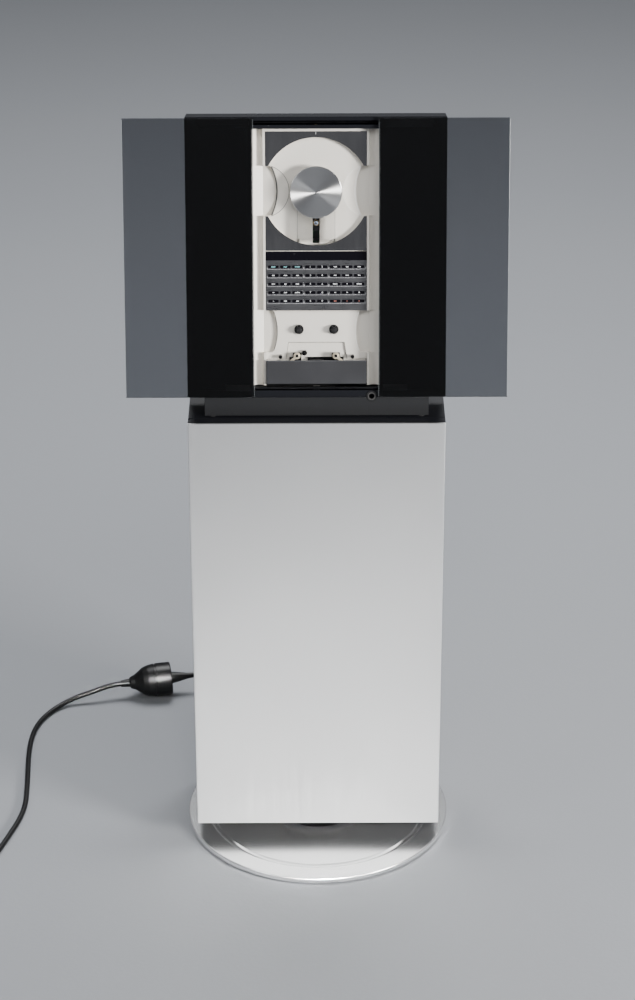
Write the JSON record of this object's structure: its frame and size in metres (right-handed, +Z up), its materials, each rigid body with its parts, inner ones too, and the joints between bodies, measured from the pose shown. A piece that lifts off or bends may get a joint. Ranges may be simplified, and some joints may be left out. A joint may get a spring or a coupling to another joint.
{
  "type": "music centre on a disc cabinet",
  "caption": "Upright music centre that leans back on a tall door-fronted disc cabinet over a round foot, with sliding glass doors, disc and cassette decks, keys and a mains lead.",
  "frame": {"origin": "middle of the round foot, on the floor", "axes": "+Z up, the front faces -Y, +X to the viewer's right"},
  "size_m": [0.7498, 0.5031, 0.9639],
  "materials": {
    "satin_aluminium": "brushed, satin",
    "dark_aluminium": "brushed, dark",
    "black_lacquer": "satin black lacquer",
    "anthracite": "fine matt",
    "black_paint": "matt",
    "black_plastic": "fine texture",
    "cream_plastic": "satin",
    "smoked_glass": "smoked, polished edges",
    "window": "dark, glossy",
    "clear_plastic": "clear",
    "clamp": "turned, bright",
    "felt": "dense felt",
    "steel": "bright",
    "key_metal": "satin",
    "board": "solder mask",
    "core_steel": "laminated",
    "pinion_brass": "turned",
    "lead_sheath": "smooth",
    "black_rubber": "matt"
  },
  "bodies": {
    "base": {"base_disc": "satin_aluminium", "base_feet": "black_rubber", "swivel_hub": "black_paint", "lead_gland": "black_rubber", "appliance_lead": "lead_sheath", "mains_coupling": "black_rubber", "extension_lead": "lead_sheath", "lead_coil": "lead_sheath", "mains_plug": "black_plastic"},
    "cabinet": {"cabinet_shell": "black_lacquer", "cabinet_back": "black_lacquer", "back_screws": "steel", "disc_shelves": "black_plastic", "door_hinges": "black_paint", "neck_bracket": "anthracite", "neck_feet": "black_rubber", "front_frame": "black_plastic", "rear_cover": "black_plastic", "rails_and_rods": "steel", "motors": "black_paint", "deck_moulding": "cream_plastic", "deck_plates": "satin_aluminium", "display_window": "window", "keypad_plate": "dark_aluminium", "circuit_boards": "board", "transformer": "core_steel", "headphone_socket": "black_plastic", "cassette_plate": "satin_aluminium"},
    "front_door": {"door_panel": "satin_aluminium", "door_frame": "black_lacquer"},
    "left_glass": {"left_glass_door": "smoked_glass", "left_door_carrier": "black_plastic"},
    "right_glass": {"right_glass_door": "smoked_glass", "right_door_carrier": "black_plastic"},
    "pinion": {"door_pinion": "pinion_brass"},
    "clamp_arm": {"clamp_arm": "clear_plastic"},
    "clamp_disc": {"clamp_disc": "clamp", "clamp_pad": "felt"},
    "disc_hub": {"disc_hub": "black_plastic"},
    "laser_sled": {"laser_sled": "black_plastic"},
    "reel_left": {"reel_hub_left": "black_plastic"},
    "reel_right": {"reel_hub_right": "black_plastic"},
    "head_bridge": {"head_bridge": "steel"},
    "pinch_left": {"pinch_roller_left": "black_rubber"},
    "pinch_right": {"pinch_roller_right": "black_rubber"},
    "key_bar_1_left": {"key_bar_1_left": "key_metal"},
    "key_bar_1_middle": {"key_bar_1_middle": "key_metal"},
    "key_bar_1_right": {"key_bar_1_right": "key_metal"},
    "key_bar_2_left": {"key_bar_2_left": "key_metal"},
    "key_bar_2_middle": {"key_bar_2_middle": "key_metal"},
    "key_bar_2_right": {"key_bar_2_right": "key_metal"},
    "key_bar_3_left": {"key_bar_3_left": "key_metal"},
    "key_bar_3_middle": {"key_bar_3_middle": "key_metal"},
    "key_bar_3_right": {"key_bar_3_right": "key_metal"},
    "key_bar_4_left": {"key_bar_4_left": "key_metal"},
    "key_bar_4_middle": {"key_bar_4_middle": "key_metal"},
    "key_bar_4_right": {"key_bar_4_right": "key_metal"},
    "key_bar_5_left": {"key_bar_5_left": "key_metal"},
    "key_bar_5_middle": {"key_bar_5_middle": "key_metal"},
    "key_bar_5_right": {"key_bar_5_right": "key_metal"}
  },
  "joints": [
    {"name": "cabinet_swivel", "type": "hinge", "parent": "base", "child": "cabinet", "pos_m": [0, 0, 0.033], "axis": [0, 0, 1], "range_deg": [-45, 45]},
    {"name": "front_door_swing", "type": "hinge", "parent": "cabinet", "child": "front_door", "pos_m": [-0.149, -0.0685, 0.3205], "axis": [0, 0, -1], "range_deg": [0, 95]},
    {"name": "left_glass_slide", "type": "slide", "parent": "cabinet", "child": "left_glass", "axis": [1, 0, 0], "range_m": [0, 0.075]},
    {"name": "right_glass_slide", "type": "slide", "parent": "cabinet", "child": "right_glass", "axis": [-1, 0, 0], "range_m": [0, 0.075]},
    {"name": "pinion_spin", "type": "hinge", "parent": "cabinet", "child": "pinion", "pos_m": [0, 0.0616, 0.94644], "axis": [0, 0.2504, 0.9681], "range_deg": [-1, 861]},
    {"name": "clamp_swing", "type": "hinge", "parent": "cabinet", "child": "clamp_arm", "pos_m": [0, 0.00638, 0.80682], "axis": [-1, 0, 0], "range_deg": [0, 2.6]},
    {"name": "clamp_disc_spin", "type": "hinge", "parent": "clamp_arm", "child": "clamp_disc", "pos_m": [0, 0.01264, 0.87492], "axis": [0, 0.9681, -0.2504], "continuous": true},
    {"name": "disc_spin", "type": "hinge", "parent": "cabinet", "child": "disc_hub", "pos_m": [0, 0.02183, 0.87255], "axis": [0, 0.9681, -0.2504], "continuous": true},
    {"name": "laser_sled_slide", "type": "slide", "parent": "cabinet", "child": "laser_sled", "axis": [0, 0.2504, 0.9681], "range_m": [-0.0175, 0.0145]},
    {"name": "reel_left_spin", "type": "hinge", "parent": "cabinet", "child": "reel_left", "pos_m": [-0.02125, -0.02031, 0.70961], "axis": [0, 0.9681, -0.2504], "continuous": true},
    {"name": "reel_right_spin", "type": "hinge", "parent": "cabinet", "child": "reel_right", "pos_m": [0.02125, -0.02031, 0.70961], "axis": [0, 0.9681, -0.2504], "continuous": true},
    {"name": "head_bridge_slide", "type": "slide", "parent": "cabinet", "child": "head_bridge", "axis": [0, 0.2504, 0.9681], "range_m": [0, 0.009]},
    {"name": "pinch_left_spin", "type": "hinge", "parent": "head_bridge", "child": "pinch_left", "pos_m": [-0.0236, -0.03156, 0.68008], "axis": [0, 0.9681, -0.2504], "continuous": true},
    {"name": "pinch_right_spin", "type": "hinge", "parent": "head_bridge", "child": "pinch_right", "pos_m": [0.0236, -0.03156, 0.68008], "axis": [0, 0.9681, -0.2504], "continuous": true},
    {"name": "key_bar_1_left_press", "type": "slide", "parent": "cabinet", "child": "key_bar_1_left", "axis": [0, 0.9681, -0.2504], "range_m": [0, 0.0008], "stiffness_N_per_m": 400, "springref_m": -0.0005},
    {"name": "key_bar_1_middle_press", "type": "slide", "parent": "cabinet", "child": "key_bar_1_middle", "axis": [0, 0.9681, -0.2504], "range_m": [0, 0.0008], "stiffness_N_per_m": 400, "springref_m": -0.0005},
    {"name": "key_bar_1_right_press", "type": "slide", "parent": "cabinet", "child": "key_bar_1_right", "axis": [0, 0.9681, -0.2504], "range_m": [0, 0.0008], "stiffness_N_per_m": 400, "springref_m": -0.0005},
    {"name": "key_bar_2_left_press", "type": "slide", "parent": "cabinet", "child": "key_bar_2_left", "axis": [0, 0.9681, -0.2504], "range_m": [0, 0.0008], "stiffness_N_per_m": 400, "springref_m": -0.0005},
    {"name": "key_bar_2_middle_press", "type": "slide", "parent": "cabinet", "child": "key_bar_2_middle", "axis": [0, 0.9681, -0.2504], "range_m": [0, 0.0008], "stiffness_N_per_m": 400, "springref_m": -0.0005},
    {"name": "key_bar_2_right_press", "type": "slide", "parent": "cabinet", "child": "key_bar_2_right", "axis": [0, 0.9681, -0.2504], "range_m": [0, 0.0008], "stiffness_N_per_m": 400, "springref_m": -0.0005},
    {"name": "key_bar_3_left_press", "type": "slide", "parent": "cabinet", "child": "key_bar_3_left", "axis": [0, 0.9681, -0.2504], "range_m": [0, 0.0008], "stiffness_N_per_m": 400, "springref_m": -0.0005},
    {"name": "key_bar_3_middle_press", "type": "slide", "parent": "cabinet", "child": "key_bar_3_middle", "axis": [0, 0.9681, -0.2504], "range_m": [0, 0.0008], "stiffness_N_per_m": 400, "springref_m": -0.0005},
    {"name": "key_bar_3_right_press", "type": "slide", "parent": "cabinet", "child": "key_bar_3_right", "axis": [0, 0.9681, -0.2504], "range_m": [0, 0.0008], "stiffness_N_per_m": 400, "springref_m": -0.0005},
    {"name": "key_bar_4_left_press", "type": "slide", "parent": "cabinet", "child": "key_bar_4_left", "axis": [0, 0.9681, -0.2504], "range_m": [0, 0.0008], "stiffness_N_per_m": 400, "springref_m": -0.0005},
    {"name": "key_bar_4_middle_press", "type": "slide", "parent": "cabinet", "child": "key_bar_4_middle", "axis": [0, 0.9681, -0.2504], "range_m": [0, 0.0008], "stiffness_N_per_m": 400, "springref_m": -0.0005},
    {"name": "key_bar_4_right_press", "type": "slide", "parent": "cabinet", "child": "key_bar_4_right", "axis": [0, 0.9681, -0.2504], "range_m": [0, 0.0008], "stiffness_N_per_m": 400, "springref_m": -0.0005},
    {"name": "key_bar_5_left_press", "type": "slide", "parent": "cabinet", "child": "key_bar_5_left", "axis": [0, 0.9681, -0.2504], "range_m": [0, 0.0008], "stiffness_N_per_m": 400, "springref_m": -0.0005},
    {"name": "key_bar_5_middle_press", "type": "slide", "parent": "cabinet", "child": "key_bar_5_middle", "axis": [0, 0.9681, -0.2504], "range_m": [0, 0.0008], "stiffness_N_per_m": 400, "springref_m": -0.0005},
    {"name": "key_bar_5_right_press", "type": "slide", "parent": "cabinet", "child": "key_bar_5_right", "axis": [0, 0.9681, -0.2504], "range_m": [0, 0.0008], "stiffness_N_per_m": 400, "springref_m": -0.0005}
  ],
  "couplings": [
    {"joint": "right_glass_slide", "follows": "left_glass_slide", "ratio": 1},
    {"joint": "pinion_spin", "follows": "left_glass_slide", "rad_per_m": 200}
  ]
}
